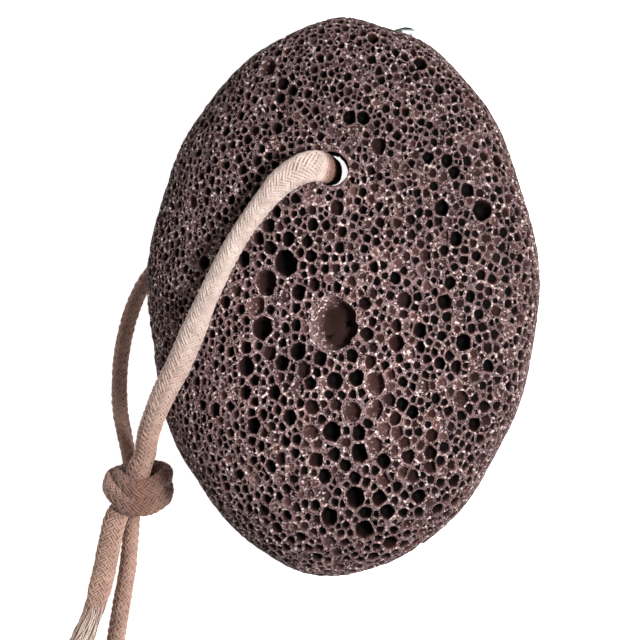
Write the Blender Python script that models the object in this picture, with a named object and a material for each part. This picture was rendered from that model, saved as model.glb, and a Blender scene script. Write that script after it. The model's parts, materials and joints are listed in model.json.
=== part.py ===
"""A lava pumice foot stone with its hanging cord, lying on its back.

Metres, +Z up. The origin is on the surface that the stone lies on, under the middle of its outline.
+Y runs along the stone to the drilled end, +X across it, and +Z out of its broad working face.

The stone is one body: a domed pebble with a flat resting patch underneath, a drilled hole and the
largest of its gas pits. One braided cotton cord runs through the hole and both of its strands are
tied in one knot beside the stone, with two tails lying on the surface beyond it.
"""
import math
import random

import bmesh
import bpy
import numpy as np
from mathutils import Vector
from mathutils.bvhtree import BVHTree

MM = 0.001

# Stone, seen from above: half sizes, and how square each quarter of the outline is
# (upper right, upper left, lower left, lower right)
HALF_WIDTH = 35.1 * MM
HALF_LENGTH = 50.0 * MM
OUTLINE_POWERS = (1.95, 1.84, 2.02, 1.82)

# Stone, seen from the side: height of its widest line, and how boxy the face and the underside are
# (right, drilled end, left, plain end)
RIM_HEIGHTS = (17.0 * MM, 19.0 * MM, 12.5 * MM, 13.5 * MM)
FACE_POWERS = (4.6, 3.1, 1.95, 3.2)
UNDER_POWERS = (1.9, 1.5, 1.5, 1.8)
FACE_MIDDLE = Vector((3.5, -1.0, 29.5)) * MM
UNDER_MIDDLE = Vector((5.0, -8.0, -1.3)) * MM

# Slow unevenness of the stone: height and length of its waves
WAVE_HEIGHT = 0.18 * MM
WAVE_LENGTH = 34.0 * MM
STONE_CUTS = 14

# Drilled hole for the cord, wider underneath where the drill broke out
HOLE_PLACE = Vector((-2.0, 22.1, 0.0)) * MM
HOLE_RADIUS = 3.15 * MM
BREAKOUT_RADIUS = 7.0 * MM
BREAKOUT_TOP = 9.0 * MM
HOLE_SIDES = 20

# Gas pits in the face: place from the middle, width and length, in millimetres
FACE_PITS = (
    (-1.6, -5.2, 8.8, 9.8),
    (-10.3, 5.8, 3.6, 4.3),
    (-13.2, 2.7, 4.0, 4.0),
    (-13.5, 41.0, 2.9, 3.6),
    (6.5, 26.8, 2.9, 3.2),
    (-1.3, 16.4, 3.2, 3.2),
    (25.4, 15.3, 3.2, 4.3),
    (18.0, 15.7, 2.6, 3.2),
    (11.2, -0.9, 2.4, 3.6),
    (21.8, -8.6, 3.2, 2.8),
    (21.4, -18.7, 2.7, 3.2),
    (-1.3, -15.5, 3.6, 2.6),
    (5.9, -16.0, 3.2, 4.6),
    (1.6, -21.1, 2.8, 4.3),
    (-1.8, -24.7, 3.6, 3.2),
    (3.1, -28.6, 3.2, 3.2),
    (2.3, -36.5, 3.6, 4.3),
    (-2.3, -40.1, 2.6, 4.2),
    (4.0, -42.5, 2.8, 4.6),
    (8.8, -44.8, 3.4, 3.0),
    (-7.7, -10.4, 3.0, 3.0),
    (-14.2, -5.2, 4.6, 2.6),
    (-17.4, -12.9, 2.9, 3.9),
    (-9.5, -22.1, 2.8, 2.8),
    (-16.0, -23.6, 2.6, 3.0),
    (15.0, -6.3, 2.6, 3.0),
    (21.0, 10.0, 2.8, 2.6),
    (-27.0, 16.7, 2.8, 2.8),
)
PIT_DEPTH_SHARE = 0.62
BOWL_DEPTH_SHARE = 0.42
BOWL_WIDTH = 6.0 * MM

# The other large pits are scattered all round: how many, widths, and room between them
SCATTERED_PITS = 36
SCATTERED_WIDTHS = (2.4 * MM, 4.0 * MM)
PIT_ROOM = 1.0 * MM
PIT_SEED = 11

# Cord: a soft braid, about as wide as the round tube that stands for it here
CORD_RADIUS = 1.9 * MM
LOOP_STEP = 5.0 * MM
TAIL_STEP = 7.0 * MM

# The cord's loop in millimetres, from the knot over the face, down the hole and back underneath
LOOP_ROUTE = (
    (-36.2, -31.6, 7.8),
    (-35.7, -28.6, 10.6),
    (-35.0, -25.4, 14.4),
    (-33.6, -21.6, 18.8),
    (-31.6, -17.2, 22.2),
    (-29.4, -12.8, 24.0),
    (-26.7, -6.6, 25.7),
    (-23.9, -1.0, 26.9),
    (-20.6, 5.4, 28.2),
    (-17.4, 10.9, 29.8),
    (-14.0, 15.6, 31.0),
    (-10.6, 19.4, 31.8),
    (-7.0, 21.6, 32.3),
    (-3.8, 22.2, 31.2),
    (-2.5, 22.2, 27.4),
    (-2.5, 22.2, 18.0),
    (-2.5, 22.2, 10.5),
    (-3.8, 22.2, 5.0),
    (-7.4, 21.6, 2.5),
    (-12.0, 20.2, 2.1),
    (-18.4, 16.8, 2.1),
    (-25.0, 12.4, 2.1),
    (-31.6, 7.6, 2.1),
    (-35.6, 3.2, 2.1),
    (-38.2, -1.8, 2.1),
    (-40.0, -8.2, 2.1),
    (-40.8, -15.0, 2.1),
    (-40.7, -21.1, 2.1),
    (-39.8, -26.0, 2.5),
    (-38.9, -30.4, 3.3),
)

# Knot, pulled tight round both strands: its middle and its half sizes
KNOT_MIDDLE = Vector((-37.4, -35.8, 4.8)) * MM
KNOT_HALF_SIZE = Vector((6.6, 4.9, 4.7)) * MM

# The two tails in millimetres, from the knot outwards
LEFT_TAIL_ROUTE = (
    (-41.2, -40.4, 5.0),
    (-42.2, -43.8, 4.2),
    (-42.9, -47.0, 2.9),
    (-43.6, -50.4, 2.1),
    (-44.4, -53.6, 2.1),
    (-45.2, -56.6, 2.1),
    (-46.3, -59.8, 2.1),
    (-47.6, -63.0, 2.1),
    (-49.2, -66.4, 2.1),
    (-51.2, -69.8, 2.1),
)
RIGHT_TAIL_ROUTE = (
    (-38.5, -41.0, 2.1),
    (-38.8, -45.0, 2.1),
    (-39.3, -49.9, 2.1),
    (-40.0, -54.2, 2.1),
    (-40.7, -58.2, 2.1),
    (-41.4, -62.5, 2.1),
    (-42.3, -67.0, 2.1),
    (-43.6, -71.4, 2.1),
    (-45.6, -75.8, 2.1),
)

# Colours, linear
LAVA_COLOUR = (0.100, 0.066, 0.065, 1.0)
COTTON_COLOUR = (0.79, 0.65, 0.57, 1.0)


def clear_scene():
    for item in list(bpy.data.objects):
        bpy.data.objects.remove(item, do_unlink=True)


def new_collection(name):
    collection = bpy.data.collections.new(name)
    bpy.context.scene.collection.children.link(collection)
    return collection


def new_material(name, colour, roughness):
    material = bpy.data.materials.new(name)
    material.use_nodes = True
    shader = material.node_tree.nodes["Principled BSDF"]
    shader.inputs["Base Color"].default_value = colour
    shader.inputs["Roughness"].default_value = roughness
    shader.inputs["Metallic"].default_value = 0.0
    return material


def new_object(name, data, collection, material=None):
    item = bpy.data.objects.new(name, data)
    collection.objects.link(item)
    if material:
        item.data.materials.append(material)
    return item


def around(angle, first_degrees, values):
    """Smooth mix of four values that hold a quarter turn apart, the first at first_degrees."""
    total = 0.0
    for quarter, value in enumerate(values):
        facing = math.cos(angle - math.radians(first_degrees + 90 * quarter))
        total += value * max(0.0, facing) ** 2
    return total


def outline(angle):
    """Point of the stone's outline in a direction from its middle."""
    power = around(angle, 45, OUTLINE_POWERS)
    across = abs(math.cos(angle)) / HALF_WIDTH
    along = abs(math.sin(angle)) / HALF_LENGTH
    radius = (across ** power + along ** power) ** (-1 / power)
    return Vector((radius * math.cos(angle), radius * math.sin(angle), around(angle, 0, RIM_HEIGHTS)))


def unevenness(point):
    """Slow swells of a worn stone."""
    x, y, z = (value / WAVE_LENGTH * math.tau for value in point)
    return WAVE_HEIGHT * (math.sin(x + 1.3 * y + 0.4) + math.sin(1.7 * x - 0.8 * y + 2.1 * z + 2.0))


def stone_point(direction):
    """Place on the bare stone of a point of the unit ball."""
    angle = math.atan2(direction.y, direction.x)
    flat = math.hypot(direction.x, direction.y)
    rise = abs(direction.z)
    middle, powers = (FACE_MIDDLE, FACE_POWERS) if direction.z > 0 else (UNDER_MIDDLE, UNDER_POWERS)
    power = around(angle, 0, powers)
    stretch = (flat ** power + rise ** power) ** (-1 / power)
    reach = flat * stretch
    rim = outline(angle)
    point = middle.lerp(rim, reach)
    point.z = rim.z + (middle.z - rim.z) * rise * stretch
    return point + direction * unevenness(point)


def centre_outline(verts):
    """Shifts the stone so that the box round its outline has its middle over the origin."""
    for axis in range(2):
        places = [vert.co[axis] for vert in verts]
        shift = 0.5 * (min(places) + max(places))
        for vert in verts:
            vert.co[axis] -= shift


def bare_stone_mesh():
    """The stone without pits, cut flat where it lies."""
    bm = bmesh.new()
    bmesh.ops.create_cube(bm, size=2.0)
    bmesh.ops.subdivide_edges(bm, edges=bm.edges, cuts=STONE_CUTS, use_grid_fill=True)
    for vert in bm.verts:
        vert.co = stone_point(Vector([math.tan(value * math.pi / 4) for value in vert.co]).normalized())
    bmesh.ops.triangulate(bm, faces=bm.faces)
    centre_outline(bm.verts)
    everything = bm.verts[:] + bm.edges[:] + bm.faces[:]
    cut = bmesh.ops.bisect_plane(
        bm, geom=everything, dist=1e-6, plane_co=(0, 0, 0), plane_no=(0, 0, -1), clear_outer=True
    )
    rim_edges = [item for item in cut["geom_cut"] if isinstance(item, bmesh.types.BMEdge)]
    bmesh.ops.contextual_create(bm, geom=rim_edges)
    bmesh.ops.recalc_face_normals(bm, faces=bm.faces)
    mesh = bpy.data.meshes.new("pumice_stone")
    bm.to_mesh(mesh)
    bm.free()
    mesh.shade_smooth()
    return mesh


def surface_tree(mesh):
    return BVHTree.FromPolygons([v.co for v in mesh.vertices], [p.vertices for p in mesh.polygons])


def listed_pits(tree):
    """The pits of the face, as middle, outward direction, width and length."""
    pits = []
    for x, y, width, length in FACE_PITS:
        above = Vector((x * MM, y * MM, 2 * FACE_MIDDLE.z))
        place, normal, _, _ = tree.ray_cast(above, Vector((0, 0, -1)))
        pits.append((place, normal, width * MM, length * MM))
    return pits


def near_hole(place, width):
    return math.hypot(place.x - HOLE_PLACE.x, place.y - HOLE_PLACE.y) < BREAKOUT_RADIUS + width


def scattered_pits(tree, taken):
    """Pits all round, clear of the listed ones, the hole and the resting patch."""
    chance = random.Random(PIT_SEED)
    heart = Vector((0, 0, 0.5 * FACE_MIDDLE.z))
    pits = []
    while len(pits) < SCATTERED_PITS:
        direction = Vector([chance.gauss(0, 1) for _ in range(3)]).normalized()
        width = chance.uniform(*SCATTERED_WIDTHS)
        place, normal, _, _ = tree.ray_cast(heart + direction * 2 * HALF_LENGTH, -direction)
        if place.z < 0.6 * width or near_hole(place, width):
            continue
        crowded = any((place - other[0]).length < 0.5 * (width + other[3]) + PIT_ROOM
                      for other in taken + pits)
        if not crowded:
            pits.append((place, normal, width, width))
    return pits


def pit_cutter(collection, pits):
    """All the gas bubbles that opened into pits, as one mesh of separate balls."""
    bm = bmesh.new()
    for place, normal, width, length in pits:
        depth = (BOWL_DEPTH_SHARE if width > BOWL_WIDTH else PIT_DEPTH_SHARE) * width
        ball = bmesh.ops.create_icosphere(bm, subdivisions=2, radius=1.0)["verts"]
        turn = normal.to_track_quat("Z", "Y")
        upright = normal.z > 0.75
        for vert in ball:
            size = Vector((vert.co.x * 0.53 * width, vert.co.y * 0.53 * length, vert.co.z * depth))
            vert.co = place + (size if upright else turn @ size)
    mesh = bpy.data.meshes.new("gas_bubbles")
    bm.to_mesh(mesh)
    bm.free()
    return new_object("gas_bubbles", mesh, collection)


def hole_cutter(collection):
    """The drill's path, with the wider breakout below."""
    bm = bmesh.new()
    top = 2 * FACE_MIDDLE.z
    below = -top
    rings = ((below, BREAKOUT_RADIUS), (0.25 * BREAKOUT_TOP, BREAKOUT_RADIUS),
             (BREAKOUT_TOP, HOLE_RADIUS), (top, HOLE_RADIUS))
    loops = []
    for height, radius in rings:
        loop = []
        for side in range(HOLE_SIDES):
            angle = math.tau * side / HOLE_SIDES
            offset = Vector((radius * math.cos(angle), radius * math.sin(angle), height))
            loop.append(bm.verts.new(HOLE_PLACE + offset))
        loops.append(loop)
    for lower, upper in zip(loops, loops[1:]):
        for side in range(HOLE_SIDES):
            after = (side + 1) % HOLE_SIDES
            bm.faces.new((lower[side], lower[after], upper[after], upper[side]))
    bm.faces.new(loops[0][::-1])
    bm.faces.new(loops[-1])
    bmesh.ops.recalc_face_normals(bm, faces=bm.faces)
    mesh = bpy.data.meshes.new("drill")
    bm.to_mesh(mesh)
    bm.free()
    return new_object("drill", mesh, collection)


def subtract(item, cutter):
    cutter.hide_render = True
    cutter.display_type = "WIRE"
    modifier = item.modifiers.new(cutter.name, "BOOLEAN")
    modifier.operation = "DIFFERENCE"
    modifier.object = cutter


def make_stone(parts, cutters, material):
    mesh = bare_stone_mesh()
    tree = surface_tree(mesh)
    pits = listed_pits(tree)
    pits += scattered_pits(tree, pits)
    stone = new_object("pumice_stone", mesh, parts, material)
    subtract(stone, pit_cutter(cutters, pits))
    subtract(stone, hole_cutter(cutters))
    return stone


def smooth_route(route, step):
    """Evenly spaced points along the smooth curve through a route given in millimetres."""
    points = [Vector(point) * MM for point in route]
    guides = [2 * points[0] - points[1]] + points + [2 * points[-1] - points[-2]]
    dense = []
    for before, start, end, after in zip(guides, guides[1:], guides[2:], guides[3:]):
        for share in np.linspace(0, 1, 12, endpoint=False):
            bend = (2 * before - 5 * start + 4 * end - after) * share ** 2
            twist = (3 * start - before - 3 * end + after) * share ** 3
            dense.append(start + 0.5 * ((end - before) * share + bend + twist))
    dense.append(points[-1])
    runs = np.cumsum([0.0] + [(b - a).length for a, b in zip(dense, dense[1:])])
    places = np.linspace(0, runs[-1], max(2, round(runs[-1] / step)) + 1)
    columns = [np.interp(places, runs, [point[axis] for point in dense]) for axis in range(3)]
    return [Vector(point) for point in zip(*columns)]


def make_tube(name, route, step, parts, material):
    curve = bpy.data.curves.new(name, "CURVE")
    curve.dimensions = "3D"
    curve.bevel_depth = CORD_RADIUS
    curve.bevel_resolution = 2
    curve.use_fill_caps = True
    points = smooth_route(route, step)
    spline = curve.splines.new("POLY")
    spline.points.add(len(points) - 1)
    for spot, place in zip(spline.points, points):
        spot.co = (*place, 1.0)
    return new_object(name, curve, parts, material)


def make_knot(parts, material):
    """The overhand knot's outer form: a barrel lying across both strands."""
    bm = bmesh.new()
    bmesh.ops.create_uvsphere(bm, u_segments=20, v_segments=12, radius=1.0)
    for vert in bm.verts:
        vert.co = Vector([a * b for a, b in zip(vert.co, KNOT_HALF_SIZE)]) + KNOT_MIDDLE
    mesh = bpy.data.meshes.new("cord_knot")
    bm.to_mesh(mesh)
    bm.free()
    mesh.shade_smooth()
    return new_object("cord_knot", mesh, parts, material)


def main():
    clear_scene()
    parts = new_collection("pumice_stone_on_cord")
    cutters = new_collection("cutters")
    lava = new_material("lava pumice", LAVA_COLOUR, 0.85)
    cotton = new_material("braided cotton", COTTON_COLOUR, 0.9)
    make_stone(parts, cutters, lava)
    make_tube("cord_loop", LOOP_ROUTE, LOOP_STEP, parts, cotton)
    make_knot(parts, cotton)
    make_tube("cord_tail_left", LEFT_TAIL_ROUTE, TAIL_STEP, parts, cotton)
    make_tube("cord_tail_right", RIGHT_TAIL_ROUTE, TAIL_STEP, parts, cotton)


main()
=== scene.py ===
"""A lava pumice foot stone with its braided cotton cord, lying on its back.

Metres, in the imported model's frame: the stone lies on z = 0 with its outline's middle over the origin,
+Y runs to the drilled end and +Z out of the working face. The camera looks straight down on the face.
"""
import itertools
import json
import math
import random

import bmesh
import bpy
import numpy as np
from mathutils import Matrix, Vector, noise
from mathutils.bvhtree import BVHTree

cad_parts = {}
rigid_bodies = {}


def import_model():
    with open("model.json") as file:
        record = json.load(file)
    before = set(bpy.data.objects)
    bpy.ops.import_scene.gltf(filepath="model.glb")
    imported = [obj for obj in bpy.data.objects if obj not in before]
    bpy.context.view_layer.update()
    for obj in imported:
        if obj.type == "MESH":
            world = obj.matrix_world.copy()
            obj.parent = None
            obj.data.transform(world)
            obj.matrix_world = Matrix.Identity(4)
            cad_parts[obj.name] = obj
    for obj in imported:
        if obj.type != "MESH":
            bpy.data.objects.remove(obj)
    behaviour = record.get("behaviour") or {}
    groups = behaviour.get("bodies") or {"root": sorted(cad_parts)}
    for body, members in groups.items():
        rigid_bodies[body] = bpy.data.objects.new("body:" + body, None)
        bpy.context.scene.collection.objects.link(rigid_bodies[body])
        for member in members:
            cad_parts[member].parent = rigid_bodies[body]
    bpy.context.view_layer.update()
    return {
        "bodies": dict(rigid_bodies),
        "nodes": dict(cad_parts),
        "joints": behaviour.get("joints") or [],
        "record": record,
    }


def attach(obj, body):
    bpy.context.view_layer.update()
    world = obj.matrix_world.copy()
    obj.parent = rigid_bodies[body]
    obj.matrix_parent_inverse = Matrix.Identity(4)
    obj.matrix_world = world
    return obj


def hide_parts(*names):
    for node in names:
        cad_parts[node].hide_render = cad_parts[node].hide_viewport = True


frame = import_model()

MM = 0.001

# Camera: how far above the floor, the width of its view at the height of the stone's widest line,
# and the point under its middle
CAMERA_HEIGHT = 600.0 * MM
VIEW_WIDTH = 115.2 * MM
VIEW_LEVEL = 15.0 * MM
VIEW_MIDDLE = Vector((-3.96, -4.5, 0.0)) * MM
SENSOR_WIDTH = 36.0
# Lights: name, place in metres, size and watts; and how strongly the sky and the floor glow
LIGHTS = (("key", (0.23, 0.0, 0.39), 0.10, 3.1), ("fill", (-0.1, -0.3, 0.8), 0.5, 0.8))
SKY_STRENGTH = 0.15
FLOOR_GLOW = 0.92

# The stone's form, as in its source
HALF_WIDTH = 35.1 * MM
HALF_LENGTH = 50.0 * MM
OUTLINE_POWERS = (1.95, 1.84, 2.03, 1.87)
RIM_HEIGHTS = (17.0 * MM, 19.0 * MM, 12.5 * MM, 13.5 * MM)
FACE_POWERS = (4.6, 3.1, 1.95, 3.2)
UNDER_POWERS = (1.9, 1.5, 1.5, 1.8)
FACE_MIDDLE = (3.5 * MM, -1.0 * MM, 29.5 * MM)
UNDER_MIDDLE = (5.0 * MM, -8.0 * MM, -1.3 * MM)
WAVE_HEIGHT = 0.18 * MM
WAVE_LENGTH = 34.0 * MM
BASE_CUTS = 44
# The outline's left half lies a little lower than its right: how far, about which x, how widely
SAG_DEPTH = 1.1 * MM
SAG_PLACE = -9.5 * MM
SAG_WIDTH = 10.0 * MM
# and its drilled end is worn a little flatter right of the tip
WORN_DEPTH = 0.85 * MM
WORN_PLACE = 8.5 * MM
WORN_WIDTH = 5.5 * MM

# Drilled hole, how far up from its wider far mouth it flares, and the depths in millimetres of the
# pores in its wall
HOLE_PLACE = Vector((-2.0, 22.1, 0.0)) * MM
HOLE_RADIUS = 3.05 * MM
BREAKOUT_RADIUS = 5.2 * MM
HOLE_SIDES = 44
HOLE_LEVELS = 20
HOLE_FLARE = 5.0 * MM
HOLE_ROUGHNESS = (0.0, 0.0, 0.25, 0.5)

# Large pits as the camera sees them at the level of the stone's widest line: place, width and
# length in millimetres, and their depth and painted shade inside, from 0 for a shallow bowl to 1
SEEN_PITS = (
    (-1.6, -5.2, 8.8, 9.8, 0.35), (-10.2, 5.6, 4.1, 5.4, 1.0), (-13.8, 2.3, 4.6, 4.2, 0.55),
    (-13.5, 41.0, 2.9, 3.6, 0.4), (6.5, 26.8, 2.9, 3.2, 0.55), (-1.0, 15.7, 3.1, 2.5, 0.55),
    (25.4, 15.3, 3.2, 4.3, 0.9), (18.0, 15.7, 2.6, 3.2, 0.9), (11.2, -0.9, 2.4, 3.6, 0.5),
    (21.8, -8.6, 3.2, 2.8, 1.0), (21.4, -18.7, 2.7, 3.2, 0.4), (-1.3, -15.5, 3.6, 2.6, 0.8),
    (5.9, -16.0, 3.2, 4.6, 0.4), (1.6, -21.1, 2.8, 4.3, 0.4), (-1.8, -24.7, 3.7, 3.3, 1.0),
    (3.1, -28.6, 3.3, 3.3, 1.0), (2.3, -36.5, 3.6, 4.3, 1.0), (-2.3, -40.1, 2.6, 4.2, 0.9),
    (4.0, -42.5, 2.9, 5.0, 1.0), (8.8, -44.8, 3.4, 3.0, 0.9), (-8.0, -10.0, 3.6, 2.7, 0.9),
    (-14.4, -5.9, 5.0, 3.2, 0.8), (-17.4, -12.9, 2.9, 3.9, 0.8), (-9.5, -22.1, 2.8, 2.8, 1.0),
    (-16.0, -23.6, 2.6, 3.0, 1.0), (14.0, -6.3, 2.4, 3.0, 0.9), (-17.8, 6.5, 2.6, 3.1, 0.95),
    (-24.8, 5.8, 2.2, 2.2, 0.9), (-11.7, 30.1, 1.9, 2.2, 1.0), (-10.6, 38.2, 2.2, 2.2, 0.8),
    (-8.8, 36.9, 2.0, 2.0, 0.9), (-11.2, 35.5, 2.0, 2.0, 0.8), (-27.0, 16.7, 2.5, 2.5, 0.4),
    (-24.7, 16.9, 1.7, 1.7, 0.8), (-9.7, 10.1, 2.2, 2.9, 1.0), (-13.1, 8.5, 2.4, 2.4, 0.8),
    (-15.1, 10.1, 2.2, 2.2, 0.9), (1.4, 32.0, 2.0, 3.2, 0.9), (3.8, 32.0, 2.2, 2.9, 1.0),
    (5.6, 46.3, 2.5, 2.2, 0.8), (14.2, 41.8, 2.2, 2.9, 1.0),
    (17.6, 37.3, 1.8, 2.2, 0.9), (15.5, 24.8, 2.5, 1.8, 0.9), (18.9, 24.3, 2.3, 2.3, 0.9),
    (20.2, 22.1, 2.2, 2.2, 0.9), (28.1, 24.1, 1.8, 2.5, 0.9), (22.5, 18.9, 2.5, 2.5, 0.8),
    (20.5, 10.1, 2.7, 2.4, 0.9), (19.4, 2.2, 2.2, 2.2, 0.9), (18.4, -1.3, 2.2, 3.2, 0.9),
    (17.6, -12.4, 2.2, 2.2, 0.9), (20.5, -13.1, 2.2, 2.2, 0.8), (26.3, -12.8, 2.2, 2.2, 0.9),
    (23.9, -23.4, 2.4, 2.4, 0.9), (20.3, -33.8, 2.2, 2.2, 0.9), (-3.1, -32.8, 2.5, 2.5, 0.9),
    (5.6, -47.2, 2.2, 2.2, 0.9), (-10.9, -12.2, 2.5, 2.9, 1.0), (-13.1, -10.4, 2.5, 2.5, 0.5),
    (-17.5, -9.4, 2.2, 2.2, 0.9), (-17.5, -17.6, 2.3, 2.3, 0.9), (-12.2, -17.6, 2.5, 2.5, 0.9),
    (-5.8, -15.8, 2.3, 2.3, 0.9), (-5.4, -20.3, 2.7, 2.7, 0.6), (-23.0, -20.7, 2.2, 2.5, 0.8),
    (-25.4, -19.8, 2.0, 2.0, 0.9), (-15.6, -2.0, 3.8, 2.8, 0.35), (-7.8, 0.5, 1.8, 3.9, 0.9),
    (-5.0, 1.8, 2.2, 2.3, 0.7), (-21.1, -1.3, 2.3, 2.5, 0.8), (-19.1, 0.9, 2.4, 2.0, 0.4),
    (-4.0, -11.4, 2.4, 2.9, 0.9), (-6.9, -13.4, 2.6, 3.2, 0.5), (-20.2, -10.2, 1.9, 1.9, 1.0),
    (-13.3, 12.4, 2.4, 2.5, 0.7), (-11.9, 15.0, 1.7, 2.0, 1.0), (-5.5, 7.1, 1.8, 2.5, 1.0),
    (-5.3, 12.7, 2.2, 2.3, 0.9), (5.7, 5.1, 2.0, 1.8, 1.0), (-0.4, 8.5, 1.9, 2.2, 0.9),
    (3.9, 8.4, 1.6, 1.6, 1.0), (-1.2, 4.6, 1.9, 2.1, 0.5), (-19.0, 13.2, 1.8, 1.8, 0.9),
)

# The small pits: radii of their packed bubbles from large to small, how many places are tried for
# each, and how much coarser they are low on the face and underneath than on the left side
BUBBLE_RADII = (1.10, 0.86, 0.70, 0.57, 0.47, 0.39)
BUBBLE_TRIES = (300, 1900, 5200, 11000, 26000, 46000)
# No random pit with a radius above the first of these opens where the foam is finer than the second
LARGEST_RANDOM = 0.9
LARGE_COARSENESS = 1.15
FINE_SIDE = 0.77
COARSE_FACE = 1.30
COARSE_UNDER = 1.45
FOAM_SEED = 5
# How the pits are squeezed for packing, and the scale of the fine pores in the walls
GRAIN = Vector((1.0, 0.86, 1.0))
FINE_PORES = 1 / (0.52 * MM)
# Walls: half their thickness, how near two of their corners become one, how far their tops stand
# from the bare surface, and what share of the corners is broken, and how deep
WALL_HALF = 0.052 * MM
MERGE_CORNERS = 0.15 * MM
CREST_SINK = 0.11 * MM
CREST_RISE = 0.03 * MM
BROKEN_SHARE = 0.20
BROKEN_SINK = 0.40 * MM
# Rims: how round they are, and how much wider than its bubble a pit may open
ROUNDNESS = 0.62
WIDEST_RIM = 1.38
# Patches of fine matter: their size, how rare they are, and what share of their pits opens
PATCH_SIZE = 1.9 * MM
PATCH_LEVEL = 0.16
PATCH_PITS = 0.25
# Shares of deep and middling pits, the radii of big and small ones, and how the pits lean
DEEP_SHARE = 0.40
MIDDLE_SHARE = 0.28
BIG_PIT = 0.95 * MM
SMALL_PIT = 0.49 * MM
PIT_LEAN = Vector((0.26, 0.12, 0.0))
BOWL_LEAN = Vector((0.30, 0.05, 0.0))
# The largest bowl: the radius that makes a pit one; its rings' share of its width, share of its
# depth and painted shade; its two pores, painted black; its depth by its radius; and the depth of
# the deepest other pit
LARGEST_BOWL = 3.0 * MM
BOWL_RINGS = ((0.96, 0.18, 0.19), (0.87, 0.48, 0.26), (0.79, 0.78, 0.42), (0.70, 0.93, 0.55),
              (0.46, 1.0, 0.57), (0.24, 1.0, 0.57))
BOWL_PORES = ((-2.1, -7.4), (1.4, -5.2))
BOWL_PORE_RADIUS = 0.5 * MM
BOWL_PORE_DEPTH = 0.8 * MM
BOWL_DEPTH = 0.66
DEEPEST_PIT = 3.6 * MM

# Painted light and shade on the working face: where it is painted palest, how far from there that
# starts to fade and ends, and how much paler and darker it makes the stone
PAINTED_LIGHT_MIDDLE = (-6.0 * MM, -8.0 * MM, 28.0 * MM)
PAINTED_LIGHT_NEAR = 16.0 * MM
PAINTED_LIGHT_FAR = 38.0 * MM
PAINTED_LIGHT_SHADES = (1.20, 0.82)

# A sliver of natural glass held in the drilled end's rim: its outline from above in millimetres,
# its level, half its thickness, and where along Y its dark edge starts and is full
SLIVER_OUTLINE = ((8.6, 46.9), (9.6, 47.5), (11.2, 47.9), (12.3, 47.8), (13.0, 47.3), (12.6, 46.6),
                  (12.7, 45.4), (11.2, 44.8), (9.4, 45.6))
SLIVER_LEVEL = 18.9 * MM
SLIVER_HALF = 0.5 * MM
SLIVER_EDGE = (47.0 * MM, 47.5 * MM)

# Cord: its width, half width and half thickness of the flat soft braid, its yarns' carriers, how
# long a stitch is, how far yarns go over and under, and how much of that shows where they are fluffy
BRAID_ACROSS = 1.82 * MM
BRAID_UP = 1.10 * MM
CARRIERS = 8
STITCH = 1.36 * MM
OVER_UNDER = 0.17 * MM
FLUFFY_RELIEF = 0.50
# Yarns: how far apart a pair lies in radians, their form, and turns of fibre in a millimetre
PAIR_SPREAD = 0.19
YARN_RADIUS = 0.28 * MM
YARN_SIDES = 5
FIBRE_TURNS = 2.2
CORE_SIDES = 12
CORE_GAP = 0.08 * MM
BRAID_STEP = 0.40 * MM
CORD_SEED = 3

# The cord's loop in millimetres, from the knot over the face, down the hole and back underneath
LOOP_ROUTE = (
    (-38.8, -37.4, 4.4), (-38.0, -34.8, 5.6), (-36.9, -31.6, 7.9), (-35.7, -28.6, 10.6),
    (-35.0, -25.4, 14.4), (-33.6, -21.6, 18.8), (-31.6, -17.2, 22.2), (-29.2, -12.8, 24.0),
    (-26.4, -6.6, 25.7), (-24.0, -1.0, 26.9), (-20.9, 5.4, 28.2), (-17.7, 10.9, 29.8),
    (-14.2, 15.7, 31.0), (-10.8, 19.6, 31.8), (-7.4, 21.8, 32.2), (-5.1, 22.5, 31.0),
    (-3.6, 22.4, 27.4), (-2.0, 22.2, 22.0), (-1.4, 22.2, 16.0), (-1.9, 22.2, 10.0),
    (-3.6, 22.2, 5.0), (-7.4, 21.6, 2.5), (-12.0, 20.2, 2.1), (-18.4, 16.8, 2.1),
    (-25.0, 12.4, 2.1), (-31.6, 7.6, 2.3), (-35.6, 3.2, 2.4), (-38.2, -1.8, 2.4),
    (-40.0, -8.2, 2.4), (-40.8, -15.0, 2.4), (-40.7, -21.1, 2.4), (-39.8, -26.0, 2.7),
    (-38.9, -30.4, 3.3), (-38.4, -33.6, 3.6), (-38.6, -36.6, 3.4),
)
# Where the flat cord turns on to its edge underneath, x and z of its middle in the hole, up to which
# height shade is painted on it in the hole, and how much shade is painted on it underneath
TURN_START = (-12.0, 20.2)
TURN_END = (-31.6, 7.6)
IN_HOLE_X = -1.4 * MM
IN_HOLE_Z = 16.0 * MM
SHADED_BELOW = 29.2 * MM
BACK_SHADE = 0.34
# How much wider or rounder the loop is than the plain braid, at so many millimetres from the knot,
# and from its other end
LOOP_SWELL = ((0, 0.84), (3, 1.02), (6, 1.02), (10, 0.87), (22, 0.92), (32, 1.06), (40, 1.07),
              (47, 0.85), (62, 0.80), (68, 0.92), (73, 1.18), (77, 1.34), (84, 1.30), (90, 1.0))
LOOP_ROUNDNESS = ((8, 1.0), (20, 1.38), (66, 1.38), (75, 0.92), (90, 0.9))
LOOP_END_SWELL = ((0, 0.84), (8, 0.90), (16, 1.0))
# The same for both tails, between which millimetres they turn, and how thin they are undone
TAIL_SWELL = ((0, 0.86), (6, 0.98))
TAIL_TURN = (2, 24)
UNDONE_SWELL = 0.74
KNOT_SWELL = 0.86
# How much shade is painted on the knot, by x in millimetres
KNOT_SHADE = ((-42, 0.42), (-37, 0.84), (-33, 0.68))

KNOT_MIDDLE = Vector((-37.4, -35.8, 4.8)) * MM
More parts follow.
